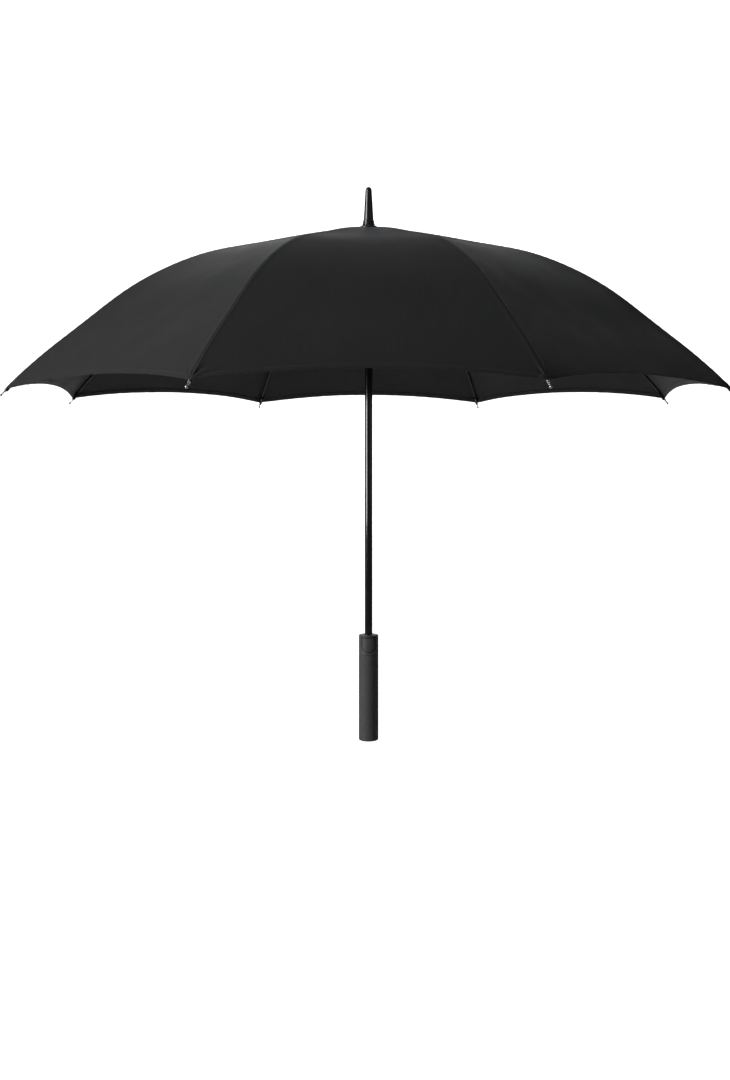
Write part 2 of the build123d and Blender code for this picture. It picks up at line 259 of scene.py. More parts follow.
def make_wear_group():
    group = bpy.data.node_groups.new("rub_and_dust", "ShaderNodeTree")
    add_socket(group, "Edge Width", "INPUT").default_value = 0.001
    add_socket(group, "Patch Size", "INPUT").default_value = 40
    add_socket(group, "Rubbed", "OUTPUT")
    add_socket(group, "Dust", "OUTPUT")
    inputs = node(group, "NodeGroupInput")
    outputs = node(group, "NodeGroupOutput")
    rounded = node(group, "ShaderNodeBevel", samples=4)
    join(group, inputs, "Edge Width", rounded, "Radius")
    geometry = node(group, "ShaderNodeNewGeometry")
    between = node(group, "ShaderNodeVectorMath", operation="DOT_PRODUCT")
    join(group, rounded, "Normal", between, 0)
    join(group, geometry, "Normal", between, 1)
    edge = ramp(group, between.outputs["Value"], 0.995, 0.9)
    place = node(group, "ShaderNodeTexCoord")
    patches = put(node(group, "ShaderNodeTexNoise"), Detail=5.0, Roughness=0.65)
    join(group, place, "Object", patches, "Vector")
    join(group, inputs, "Patch Size", patches, "Scale")
    broken = ramp(group, patches.outputs["Fac"], 0.38, 0.62)
    group.links.new(maths(group, "MULTIPLY", edge, broken), outputs.inputs["Rubbed"])
    group.links.new(ramp(group, patches.outputs["Fac"], 0.5, 0.78), outputs.inputs["Dust"])
    return group


wear_group = make_wear_group()


def wear(tree, edge_width, patch_size):
    made = node(tree, "ShaderNodeGroup", node_tree=wear_group)
    put(made, Edge_Width=edge_width, Patch_Size=patch_size)
    return made.outputs["Rubbed"], made.outputs["Dust"]


print("wear group has", len(wear_group.nodes), "nodes")

# %% [markdown]
# ### Weave group
# Umbrella cloth is a very fine plain weave: threads pass over and under each other in both directions. Two sine waves
# crossed along the cloth's own directions give the height of the threads, and a slow noise makes some threads thicker.

# %% Weave group
def make_weave_group():
    group = bpy.data.node_groups.new("plain_weave", "ShaderNodeTree")
    add_socket(group, "Place", "INPUT", "NodeSocketVector")
    add_socket(group, "Threads Per Metre", "INPUT").default_value = 1500
    add_socket(group, "Height", "OUTPUT")
    add_socket(group, "Slub", "OUTPUT")
    inputs = node(group, "NodeGroupInput")
    outputs = node(group, "NodeGroupOutput")
    split = node(group, "ShaderNodeSeparateXYZ")
    join(group, inputs, "Place", split, "Vector")
    turns = maths(group, "MULTIPLY", inputs.outputs["Threads Per Metre"], math.pi)
    across = maths(group, "MULTIPLY", split.outputs["X"], turns)
    along = maths(group, "MULTIPLY", split.outputs["Y"], turns)
    over = maths(group, "MULTIPLY", maths(group, "SINE", across), maths(group, "SINE", along))
    warp = maths(group, "ABSOLUTE", maths(group, "SINE", across))
    weft = maths(group, "ABSOLUTE", maths(group, "SINE", along))
    top = ramp(group, over, -0.2, 0.2)
    height = maths(group, "ADD", maths(group, "MULTIPLY", warp, top),
                   maths(group, "MULTIPLY", weft, maths(group, "SUBTRACT", 1.0, top)))
    group.links.new(height, outputs.inputs["Height"])
    stretched = node(group, "ShaderNodeVectorMath", operation="MULTIPLY")
    join(group, inputs, "Place", stretched, 0)
    stretched.inputs[1].default_value = (900, 14, 1)
    slub = put(node(group, "ShaderNodeTexNoise"), Scale=1.0, Detail=2.0)
    join(group, stretched, "Vector", slub, "Vector")
    group.links.new(slub.outputs["Fac"], outputs.inputs["Slub"])
    return group


weave_group = make_weave_group()
print("weave group has", len(weave_group.nodes), "nodes")

# %% [markdown]
# ### Canopy cloth
# The cloth carries two maps of its own: one in metres along the panel's threads, for the weave, and one that holds the
# distance to the rib seam and to the hem, for the rows of stitching. The stitches are short raised dashes beside each
# seam, and the thread is slightly lighter than the cloth.

# %% Canopy cloth finish
def stitch_row(tree, distance, run, offset, pitch, width=0.0005):
    """Mask of a row of stitches at an offset from an edge; distance and run are sockets in metres."""
    beside = maths(tree, "ABSOLUTE", maths(tree, "SUBTRACT", distance, offset))
    in_row = ramp(tree, beside, width, width * 0.5)
    wave = maths(tree, "SINE", maths(tree, "MULTIPLY", run, 2 * math.pi / pitch))
    dash = ramp(tree, wave, -0.55, -0.2)
    return maths(tree, "MULTIPLY", in_row, dash)


def cloth_finish(name, dark, light):
    material, tree, shader = new_finish(name, Roughness=0.5, Specular_IOR_Level=0.26, Sheen_Weight=0.02,
                                        Sheen_Roughness=0.42)
    shader.inputs["Sheen Tint"].default_value = (0.8, 0.85, 0.95, 1)
    threads = node(tree, "ShaderNodeUVMap", uv_map="threads")
    weave = node(tree, "ShaderNodeGroup", node_tree=weave_group)
    join(tree, threads, "UV", weave, "Place")
    put(weave, Threads_Per_Metre=1400)
    edges = node(tree, "ShaderNodeUVMap", uv_map="seams")
    edge_place = node(tree, "ShaderNodeSeparateXYZ")
    join(tree, edges, "UV", edge_place, "Vector")
    hems = node(tree, "ShaderNodeUVMap", uv_map="hems")
    hem_place = node(tree, "ShaderNodeSeparateXYZ")
    join(tree, hems, "UV", hem_place, "Vector")
    seam_row = stitch_row(tree, edge_place.outputs["X"], edge_place.outputs["Y"], offset=0.0022, pitch=0.0031)
    hem_row = stitch_row(tree, hem_place.outputs["X"], hem_place.outputs["Y"], offset=0.0075, pitch=0.0034)
    stitches = maths(tree, "MAXIMUM", seam_row, hem_row)
    cloud = blotches(tree, 5.0, 4.0)
    base = blend_colour(tree, ramp(tree, cloud, 0.15, 0.85), dark, light)
    slubbed = blend_colour(tree, ramp(tree, weave.outputs["Slub"], 0.42, 0.7, 0, 0.5), base,
                           tuple(1.5 * c for c in light))
    # Painted shade in the low gaps between the threads of the weave.
    weave_gaps_shaded = blend_colour(tree, ramp(tree, weave.outputs["Height"], 0.0, 0.7, 0.55, 0.0), slubbed,
                         tuple(0.45 * c for c in dark))
    seam_shadow = ramp(tree, edge_place.outputs["X"], 0.0031, 0.0041, 0.35, 0.0)
    shaded = blend_colour(tree, seam_shadow, weave_gaps_shaded, tuple(0.4 * c for c in dark))
    finished = blend_colour(tree, stitches, shaded, tuple(2.6 * c for c in light))
    tree.links.new(finished, shader.inputs["Base Color"])
    tree.links.new(ramp(tree, blotches(tree, 11.0, 5.0), 0.2, 0.8, 0.5, 0.6), shader.inputs["Roughness"])
    height = maths(tree, "ADD", maths(tree, "MULTIPLY", weave.outputs["Height"], 0.35),
                   maths(tree, "MULTIPLY", stitches, 1.6))
    bump(tree, shader, height, 0.5, 0.00035)
    return material


canopy_finish = cloth_finish("canopy_cloth", (0.0105, 0.0105, 0.0112), (0.0150, 0.0150, 0.0160))
print("canopy finish has", len(canopy_finish.node_tree.nodes), "nodes")

# %% [markdown]
# ### Hard finishes
# The shaft is gloss black lacquer, the grip is soft-touch rubber with a very fine pebble, the runner, crown and rosette
# are moulded plastic, and the rib tips are plated metal. Each mixes a base tone with rubbed edges and a little dust.

# %% Hard finishes
def hard_finish(name, tone, rubbed_tone, rough, grain, grain_depth, edge_width=0.0006, **shader_values):
    """Moulded, painted or plated finish: tone with soft patches, rubbed edges, and a fine grain."""
    material, tree, shader = new_finish(name, **shader_values)
    rubbed, dust = wear(tree, edge_width, 60)
    patch = blend_colour(tree, blotches(tree, 22.0, 4.0), tone, tuple(1.35 * c for c in tone))
    worn = blend_colour(tree, maths(tree, "MULTIPLY", rubbed, 0.7), patch, rubbed_tone)
    dusty = blend_colour(tree, maths(tree, "MULTIPLY", dust, 0.06), worn, (0.2, 0.19, 0.18))
    tree.links.new(dusty, shader.inputs["Base Color"])
    uneven = ramp(tree, blotches(tree, 70.0, 5.0), 0.3, 0.7, rough * 0.82, rough * 1.2)
    tree.links.new(maths(tree, "ADD", uneven, maths(tree, "MULTIPLY", rubbed, 0.08)), shader.inputs["Roughness"])
    bump(tree, shader, blotches(tree, grain, 2.0), 0.6, grain_depth)
    return material


shaft_finish = hard_finish("shaft_lacquer", (0.0045, 0.0045, 0.005), (0.03, 0.03, 0.03), 0.13, 900, 0.00001,
                           Coat_Weight=0.6, Coat_Roughness=0.05)
plastic_finish = hard_finish("moulded_black", (0.011, 0.011, 0.0115), (0.05, 0.05, 0.05), 0.36, 1500, 0.00004)
ferrule_finish = hard_finish("ferrule_black", (0.0055, 0.0055, 0.006), (0.05, 0.05, 0.05), 0.24, 1200, 0.000005,
                             Coat_Weight=0.25, Coat_Roughness=0.2)
grip_finish = hard_finish("soft_touch_grip", (0.054, 0.054, 0.055), (0.06, 0.06, 0.06), 0.62, 2600, 0.00003,
                          Specular_IOR_Level=0.3)
button_finish = hard_finish("soft_touch_button", (0.050, 0.050, 0.051), (0.07, 0.07, 0.07), 0.55, 2600, 0.00002,
                            edge_width=0.0009)
rod_finish = hard_finish("fibreglass_black", (0.010, 0.010, 0.011), (0.04, 0.04, 0.04), 0.3, 1800, 0.00003,
                         Coat_Weight=0.3, Coat_Roughness=0.15)
stretcher_finish = hard_finish("stretcher_black", (0.03, 0.03, 0.032), (0.16, 0.16, 0.16), 0.3, 1300, 0.00001,
                               Metallic=0.6)
tip_finish = hard_finish("plated_tip", (0.42, 0.42, 0.43), (0.75, 0.74, 0.72), 0.22, 700, 0.00002, Metallic=1.0)
spring_finish = hard_finish("spring_wire", (0.35, 0.35, 0.36), (0.6, 0.6, 0.6), 0.3, 900, 0.00002, Metallic=1.0)
snap_finish = hard_finish("snap_gunmetal", (0.10, 0.10, 0.105), (0.5, 0.5, 0.5), 0.24, 900, 0.00002, Metallic=1.0)
print("hard finishes made")

# %% [markdown]
# ### Groove round the button
# A narrow gap runs round the push button, with a straight top and a half-round bottom, and it fills with shade and
# dust. The gap in the CAD parts is a third of a millimetre, too thin to read from a few steps away, so the finish
# paints shade and dust on both sides of it. The mask is the distance to that outline, worked out from the point's x
# and z.

# %% Groove round the button
button_half_width, button_arc_z, button_top_z = 0.012, 0.173, 0.187


def groove_shade_and_dust(tree):
    """Mask of painted shade and dust along the button's outline, on the front of the collar."""
    place = node(tree, "ShaderNodeSeparateXYZ")
    join(tree, node(tree, "ShaderNodeTexCoord"), "Object", place, "Vector")
    x, y, z = (place.outputs[name] for name in "XYZ")
    below = maths(tree, "MINIMUM", maths(tree, "SUBTRACT", z, button_arc_z), 0.0)
    squares = maths(tree, "ADD", maths(tree, "MULTIPLY", x, x), maths(tree, "MULTIPLY", below, below))
    across = maths(tree, "SQRT", squares)
    outside = maths(tree, "MAXIMUM", maths(tree, "SUBTRACT", across, button_half_width),
                    maths(tree, "SUBTRACT", z, button_top_z))
    line = ramp(tree, maths(tree, "ABSOLUTE", outside), 0.0013, 0.0005)
    return maths(tree, "MULTIPLY", line, ramp(tree, y, -0.001, -0.003))


button_tree = button_finish.node_tree
button_shader = button_tree.nodes["Principled BSDF"]
plain_tone = button_shader.inputs["Base Color"].links[0].from_socket
# Painted shade and dust darken the collar and the button along the outline.
button_tree.links.new(blend_colour(button_tree, groove_shade_and_dust(button_tree), plain_tone, (0.006, 0.006, 0.006)),
                      button_shader.inputs["Base Color"])
print("button finish has", len(button_tree.nodes), "nodes")

# %% [markdown]
# ### Studio sweep finish
# The sweep is matt white paper. A camera ray sees it as fully lit, so the umbrella stands against clean white, while
# the light it passes back to the umbrella comes only from its own plain white paint.

# %% Sweep finish
sweep_material, sweep_tree, sweep_shader = new_finish("studio_white", Roughness=0.75, Specular_IOR_Level=0.1)
sweep_tone = blend_colour(sweep_tree, blotches(sweep_tree, 0.8, 2.0), (0.80, 0.80, 0.80), (0.82, 0.82, 0.82))
sweep_tree.links.new(sweep_tone, sweep_shader.inputs["Base Color"])
sweep_rays = node(sweep_tree, "ShaderNodeLightPath")
put(sweep_shader, Emission_Color=(1, 1, 1, 1))
join(sweep_tree, sweep_rays, "Is Camera Ray", sweep_shader, "Emission Strength")
studio_sweep.data.materials.append(sweep_material)
print("sweep finish has", len(sweep_tree.nodes), "nodes")

# %% [markdown]
# ## Finishes on the CAD parts
# A CAD part whose shape is right stays as it is and only changes its material. Flat faces stay flat and round ones are
# smoothed by their stored normals.

# %% Put finishes on the CAD parts
def paint(node_name, material):
    data = nodes[node_name].data
    data.materials.clear()
    data.materials.append(material)


rib_count = 8
painted = {"shaft_tube": shaft_finish, "ferrule": ferrule_finish, "rosette": plastic_finish, "crown": plastic_finish,
           "runner": plastic_finish, "handle_grip": grip_finish, "button_collar": button_finish,
           "push_button": button_finish, "opening_spring": spring_finish}
for name, material in painted.items():
    paint(name, material)
for k in range(1, rib_count + 1):
    paint(f"rib_tip_{k}", tip_finish)
    paint(f"stretcher_{k}", stretcher_finish)
print("painted", len(painted) + 2 * rib_count, "CAD parts")

# %% [markdown]
# ## Where the ribs run
# The canopy hangs on eight ribs. The top edge of a CAD panel, where it meets its rib, gives the height of the cloth at
# each distance from the shaft. A smooth curve through those points is the line that every seam follows.

# %% Seam line from the CAD panel
half_gore = math.pi / rib_count


def smooth_curve(xs, ys, at):
    """Smooth interpolation through points, with slopes from the neighbours."""
    xs, ys, at = np.asarray(xs, float), np.asarray(ys, float), np.asarray(at, float)
    slopes = np.gradient(ys, xs)
    cell = np.clip(np.searchsorted(xs, at) - 1, 0, len(xs) - 2)
    width = xs[cell + 1] - xs[cell]
    t = np.clip((at - xs[cell]) / width, 0, 1)
    near = (1 + 2 * t) * (1 - t) ** 2 * ys[cell] + t * (1 - t) ** 2 * width * slopes[cell]
    far = t * t * (3 - 2 * t) * ys[cell + 1] + t * t * (t - 1) * width * slopes[cell + 1]
    return near + far


panel_points = np.array([v.co for v in nodes["canopy_panel_8"].data.vertices])
panel_radius = np.hypot(panel_points[:, 0], panel_points[:, 1])
panel_turn = np.abs(np.arctan2(panel_points[:, 1], panel_points[:, 0]))
on_seam = np.abs(panel_turn - half_gore) * panel_radius < 0.0002
seam_r, seam_z = [], []
for radius in sorted(set(np.round(panel_radius[on_seam], 4))):
    if seam_r and radius - seam_r[-1] < 0.006:
        continue
    near = on_seam & (np.abs(panel_radius - radius) < 0.0004)
    seam_r.append(radius)
    seam_z.append(panel_points[near, 2].max())
eye_r, corner_r = seam_r[0], seam_r[-1]


def cloth_height(radius):
    return smooth_curve(seam_r, seam_z, radius)


print("seam line from", len(seam_r), "points, radius", round(eye_r, 4), "to", round(corner_r, 4))

# %% [markdown]
# ## The canopy's surface
# A gore of an open umbrella is pulled straight between its two ribs and sags a little in the middle, so it is drawn as
# a grid. Rows run across from rib to rib, and columns run from the eye at the top down to the hem. Columns are close
# together beside the seams, where the fine shapes are: the crease, the shoulders that the seam allowance lifts, and
# the tiny puckers that the stitching draws in.

# %% Rows and columns of a gore
def radius_of(joint_name):
    return float(Vector(joints[joint_name]["pos_m"]).xy.length)


fold_r = [radius_of("flex_mid_1"), radius_of("flex_outer_1")]
along_middle = panel_points[np.abs(panel_points[:, 1]) < 0.002]
hem_middle_r = float(along_middle[:, 0].max()) / math.cos(half_gore)
row_step = 0.004


def rows_between(first, last):
    return np.linspace(first, last, max(2, round((last - first) / row_step) + 1))


rows_top = rows_between(eye_r + 0.0004, fold_r[0])
rows_middle = rows_between(*fold_r)[1:]
rows_low = np.linspace(0, 1, round((corner_r - fold_r[1]) / row_step) + 1)[1:]
near_columns = np.array([0, 0.0005, 0.0011, 0.0018, 0.0026, 0.0036, 0.005, 0.007, 0.010, 0.014])
wide_columns = 18
half_columns = len(near_columns) + wide_columns


def column_places(half_width):
    """Distances from the seam to the middle of the gore, close together near the seam."""
    near = near_columns * min(1.0, half_width / 0.045)
    wide = np.linspace(near[-1], half_width, wide_columns + 1)[1:]
    return np.concatenate([near, wide])


def hem_radius(share):
    """Radius at which the hem cuts the cloth; share is 0 at the seam and 1 in the middle."""
    curve = 1 - (1 - share) ** 2
    return corner_r + (hem_middle_r - corner_r) * curve


print("fold radii", [round(v, 4) for v in fold_r], "hem middle at", round(hem_middle_r, 4))
print("rows", len(rows_top), len(rows_middle), len(rows_low))

# %% [markdown]
# The height of the cloth over its straight lines is a sum of small, separate effects. Each is one line, so that it can
# be made stronger or weaker by itself: the sag, the slow waves of the stretched cloth, the crease of the seam with its
# shoulders, the puckers, and the small pleats that fan out of each corner where the tip pulls.

# %% Height of the cloth over its straight lines
def relief(radius, side, half_width, to_hem, along, seed):
    """Metres outward from the straight line; side is the distance from the seam, along the length from the eye."""
    span = np.clip((radius - eye_r) / (corner_r - eye_r), 0, 1)
    share = np.clip(side / np.maximum(half_width, 1e-6), 0, 1)
    sag = -0.0040 * 2.1 * span * (1 - span ** 3) * (1 - (1 - share) ** 2)
    slow = 0.00045 * np.sin(9.0 * span + 5.0 * share + 1.7 * seed) * np.sin(math.pi * share) * span
    slow = slow + 0.00025 * np.sin(23.0 * span - 9.0 * share + 2.3 * seed) * np.sin(math.pi * share) ** 2 * span
    fine = np.minimum(1.0, half_width / 0.045)
    crease = -0.0006 * np.exp(-(side / 0.0011) ** 2) * fine
    shoulder = 0.0004 * np.exp(-((side - 0.0032) / 0.0024) ** 2) * fine
    phase = along * 2 * math.pi / 0.0135 + 1.3 * np.sin(along * 61 + seed) + seed
    puckers = 0.00022 * np.sin(phase) * np.exp(-(side / 0.0075)) * (1 - np.exp(-(side / 0.0012) ** 2)) * fine
    reach = np.hypot(side, to_hem)
    turn = np.arctan2(side, np.maximum(to_hem, 1e-5))
    pleats = 0.0011 * np.cos(turn * 9.0 + seed) * np.exp(-((reach - 0.012) / 0.014) ** 2)
    pleats = pleats * (1 - np.exp(-(side / 0.003) ** 2))
    hem_wave = 0.00035 * np.sin(side * 2 * math.pi / 0.031 + seed) * np.exp(-(to_hem / 0.016))
    hem_wave = hem_wave * np.sin(math.pi * share)
    return sag + slow + crease + shoulder + puckers + pleats + hem_wave


print("relief in the middle of a gore", relief(0.5, 0.19, 0.19, 0.15, 0.5, 1.0).round(5), "m")

# %% [markdown]
# ### The grid of a gore
# Rows of the upper bands keep one radius. Below the last bend they spread out to meet the curved hem. The relief is
# added square to the straight cloth, so that it stays the same size where the canopy is steep.

# %% Grid of a gore
def gore_frame(gore):
    """Middle direction of a gore and the direction across it, toward its higher rib."""
    turn = 2 * half_gore * gore
    return np.array([math.cos(turn), math.sin(turn), 0.0]), np.array([-math.sin(turn), math.cos(turn), 0.0])


def gore_rows():
    """Radius of every point of a gore, and its share of the way from the seam to the middle."""
    upper = np.concatenate([rows_top, rows_middle])
    shares = []
    for station in np.concatenate([upper, fold_r[1] + rows_low * (corner_r - fold_r[1])]):
        half_width = station * math.sin(half_gore)
        shares.append(column_places(half_width) / half_width)
    shares = np.array(shares)
    shares = np.concatenate([shares, shares[:, -2::-1]], axis=1)
    upper_radius = np.repeat(upper[:, None], shares.shape[1], axis=1)
    low_radius = fold_r[1] + rows_low[:, None] * (hem_radius(shares[len(upper):]) - fold_r[1])
    return np.concatenate([upper_radius, low_radius]), shares


def gore_grid(gore):
    """Positions and maps of one whole gore, as arrays of rows by columns, seam to seam."""
    middle, across = gore_frame(gore)
    radius, shares = gore_rows()
    sign = np.concatenate([-np.ones(half_columns), np.ones(half_columns - 1)])[None, :]
    half_width = radius * math.sin(half_gore)
    side = shares * half_width
    forward = radius * math.cos(half_gore)
    height = cloth_height(radius)
    length = np.zeros_like(radius)
    length[1:] = np.cumsum(np.hypot(np.diff(forward, axis=0), np.diff(height, axis=0)), axis=0)
    to_hem = length[-1:, :] - length
    lift = relief(radius, side, half_width, to_hem, length, gore * 1.9 + np.where(sign < 0, 0.0, 0.8))
    curve_r = np.linspace(eye_r, corner_r, 400)
    steep = np.interp(radius, curve_r, np.gradient(cloth_height(curve_r), curve_r)) / math.cos(half_gore)
    outward = np.stack([-steep, np.ones_like(steep)], axis=-1) / np.sqrt(1 + steep ** 2)[..., None]
    offset = sign * (half_width - side)
    upward = np.array([0, 0, 1.0])
    point = forward[..., None] * middle + offset[..., None] * across + height[..., None] * upward
    point = point + lift[..., None] * (outward[..., :1] * middle + outward[..., 1:] * upward)
    return {"point": point, "side": side, "to_hem": to_hem, "length": length, "offset": offset, "half_width": half_width}


print("a gore has", len(gore_rows()[0]), "rows and", 2 * half_columns - 1, "columns")

# %% [markdown]
# ### Hem, normals and pieces
# The hem is folded under, so each column goes round a small roll and back along the inner face. The whole gore gets
# its normals in one go, before it is cut into pieces, so the shading runs on over every cut. It is cut at the two
# places where a rib bends and down the middle, because each piece has to follow its own length of rib when the
# umbrella closes.

# %% Hem and normals
hem_depth = 0.009


def with_hem(grid):
    """Add the turned-under rows to a gore."""
    point = grid["point"]
    down = point[-1] - point[-2]
    down = down / np.linalg.norm(down, axis=1)[:, None]
    over = np.gradient(point[-1], axis=0)
    normal = np.cross(over, down)
    normal = normal / np.linalg.norm(normal, axis=1)[:, None]
    normal = normal * np.sign(normal[:, 2:3])
    steps = [(0.00035, 0.00020), (0.00050, 0.00060), (0.00020, 0.00100), (-0.0015, 0.00115), (-0.0040, 0.00110),
             (-0.0065, 0.00100), (-hem_depth, 0.00085), (-hem_depth - 0.0003, 0.00045)]
    rows = []
    for forward, inward in steps:
        if forward > 0:
            row = point[-1] + forward * down - inward * normal
        else:
            back = -forward
            row = np.empty_like(point[-1])
            for column in range(point.shape[1]):
                to_hem = grid["to_hem"][::-1, column]
                row[column] = [np.interp(back, to_hem, point[::-1, column, axis]) for axis in range(3)]
            row = row - inward * normal
        rows.append(row)
    extra = len(steps)
    grid = dict(grid)
    grid["point"] = np.concatenate([point, np.array(rows)])
    for key in ("side", "length", "offset", "half_width"):
        grid[key] = np.concatenate([grid[key], np.repeat(grid[key][-1:], extra, axis=0)])
    under = np.array([max(0.0, -forward) for forward, _ in steps])[:, None] * np.ones((1, point.shape[1]))
    grid["to_hem"] = np.concatenate([grid["to_hem"], under])
    grid["extra"] = extra
    return grid


def grid_normals(grid):
    point = grid["point"]
    down = np.gradient(point, axis=0)
    over = np.gradient(point, axis=1)
    normal = np.cross(over, down)
    normal = normal / np.maximum(np.linalg.norm(normal, axis=2), 1e-12)[..., None]
    if normal[5, half_columns - 1, 2] < 0:
        normal = -normal
    return normal


gores = {}
for gore in range(1, rib_count + 1):
    hemmed = with_hem(gore_grid(gore))
    gores[gore] = hemmed, grid_normals(hemmed)
print("gores with hem", gores[1][0]["point"].shape, "lowest", gores[1][0]["point"][..., 2].min().round(4))

# %% [markdown]
# ### How the cloth folds
# When the umbrella closes, the ribs come down beside the shaft and the cloth between them goes into pleats. A piece can
# flatten along one direction as the main joint moves, so for each band this works out the direction in which a piece
# would flatten sideways toward its own rib, and how much of it would be kept. The direction is tilted a little, so
# that the middle of the gore ends just outside the bundle. It stays square to the rib, so the seam itself never slides.

# %% Direction and share of the pleats
cloth_bands = []
crown_pivot = Vector(joints["fold_1"]["pos_m"])
fold_turn = math.radians(joints["fold_1"]["range_deg"][1])


def shut_radius(radius):
    """Distance of the seam from the shaft's axis in the closed umbrella."""
    radius = min(radius, fold_r[0])
    ahead, up = radius - crown_pivot.xy.length, float(cloth_height(radius)) - crown_pivot.z
    return crown_pivot.xy.length + ahead * math.cos(fold_turn) + up * math.sin(fold_turn)


def add_band(name, body, first, last, meet, outward):
    """A band of cloth between two radii; outward is how far the middle of the gore, at the last radius, ends from the
    seam's height. It goes far enough sideways to meet its neighbour from the radius meet onward."""
    slope = math.atan2(float(cloth_height(first) - cloth_height(last)), last - first)
    reach = 1.06 * math.tan(half_gore) * shut_radius(meet) / meet
    sideways = reach * last + math.tan(half_gore) * outward
    cloth_bands.append({"name": name, "body": body, "first": first, "last": last, "slope": slope,
                        "outward": outward, "sideways": sideways})


top_cuts = [rows_top[0], 0.062, 0.130, 0.225, fold_r[0]]
top_cuts = [float(rows_top[np.abs(rows_top - cut).argmin()]) for cut in top_cuts]
add_band("crown", "rib_inner", top_cuts[0], top_cuts[1], 0.030, -0.008)
add_band("upper", "rib_inner", top_cuts[1], top_cuts[2], top_cuts[1], -0.012)
add_band("shoulder", "rib_inner", top_cuts[2], top_cuts[3], top_cuts[2], -0.013)
add_band("top", "rib_inner", top_cuts[3], top_cuts[4], top_cuts[3], -0.0116)
add_band("middle", "rib_mid", fold_r[0], fold_r[1], fold_r[0], -0.011)
add_band("low", "rib_outer", fold_r[1], corner_r, fold_r[1], 0.004)


def pleat(band, rib_turn, sign):
    """Axis, anchor and keep that bring a gore's middle from its open place to its place in the bundle."""
    slope, radius = band["slope"], band["last"]
    open_place = np.array([-radius * math.sin(half_gore) ** 2 * math.sin(slope),
                           sign * radius * math.sin(half_gore) * math.cos(half_gore)])
    shut_place = np.array([band["outward"], sign * band["sideways"]])
    change = open_place - shut_place
    keep = 1 - change.dot(change) / open_place.dot(change)
    change = change / np.linalg.norm(change)
    ahead = Vector((math.cos(rib_turn), math.sin(rib_turn), 0))
    beside = Vector((-math.sin(rib_turn), math.cos(rib_turn), 0))
    up = math.sin(slope) * ahead + math.cos(slope) * Vector((0, 0, 1))
    axis = change[0] * up + change[1] * beside
    middle_radius = (band["first"] + band["last"]) / 2
    anchor = ahead * middle_radius + Vector((0, 0, float(cloth_height(middle_radius))))
    return tuple(axis), tuple(anchor), float(keep)


print("slopes", [round(math.degrees(band["slope"]), 1) for band in cloth_bands])
print("keeps", [round(pleat(band, half_gore, 1)[2], 3) for band in cloth_bands])

# %% [markdown]
# ### Cutting the pieces
# Every piece is made from a block of the gore's rows and columns. The upper bands run on a few millimetres under the
# next band, so no slit opens between them in the closed umbrella. The finished piece keeps the gore's own normals.

# %% Block of a gore as a mesh
def block_mesh(name, point, normal, maps):
    """A mesh from a block of rows and columns, with its maps and normals."""
    rows, columns = point.shape[:2]
    index = np.arange(rows * columns).reshape(rows, columns)
    quads = np.stack([index[:-1, :-1], index[:-1, 1:], index[1:, 1:], index[1:, :-1]], axis=-1).reshape(-1, 4)
    first = point.reshape(-1, 3)[quads[len(quads) // 2]]
    facing = np.cross(first[1] - first[0], first[3] - first[0]).dot(normal.reshape(-1, 3)[quads[len(quads) // 2][0]])
    if facing < 0:
        quads = quads[:, ::-1]
    piece = add_mesh(name, point.reshape(-1, 3), quads.tolist())
    loops = np.empty(len(piece.data.loops), dtype=np.int32)
    piece.data.loops.foreach_get("vertex_index", loops)
    for map_name, (first_map, second_map) in maps.items():
        layer = piece.data.uv_layers.new(name=map_name)
        values = np.stack([first_map.reshape(-1), second_map.reshape(-1)], axis=1)[loops]
        layer.data.foreach_set("uv", values.astype(np.float32).reshape(-1))
    piece.data.normals_split_custom_set_from_vertices([tuple(v) for v in normal.reshape(-1, 3)])
    return piece


def surface_area(point):
    first = np.cross(point[1:, :-1] - point[:-1, :-1], point[:-1, 1:] - point[:-1, :-1])
    second = np.cross(point[1:, :-1] - point[1:, 1:], point[:-1, 1:] - point[1:, 1:])
    return float((np.linalg.norm(first, axis=2) + np.linalg.norm(second, axis=2)).sum() / 2)


def underlap(grid, normal, rows, columns):
    """Rows of a block, with the last few run on under the next band and lowered a little."""
    point = grid["point"][rows, columns].copy()
    share = (grid["side"] / grid["half_width"])[rows, columns]
    start = point.shape[0] - 4
    for step in range(1, 4):
        row = start + step
        drop = 0.0004 * np.minimum(1, share[row] * 6) * (1 if step > 1 else 0.6)
        point[row] = point[start] + (point[row] - point[start]) * np.minimum(1, share[row] * 1.15 + 0.02)[:, None]
        point[row] = point[row] - drop[:, None] * normal[rows, columns][row]
    return point


print("area of a whole gore", round(surface_area(gores[1][0]["point"]), 4), "m2")

# %% [markdown]
# ### Placing the pieces
# Each half gore belongs to the rib on its own side. A piece rides the rib length it hangs on.


def settle(piece, band, rib):
    """Give a piece of the canopy its finish and the rib length it rides on."""
    body = f"{band['body']}_{rib}"
    piece.data.materials.append(canopy_finish)
    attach(piece, body)
    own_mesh(piece)


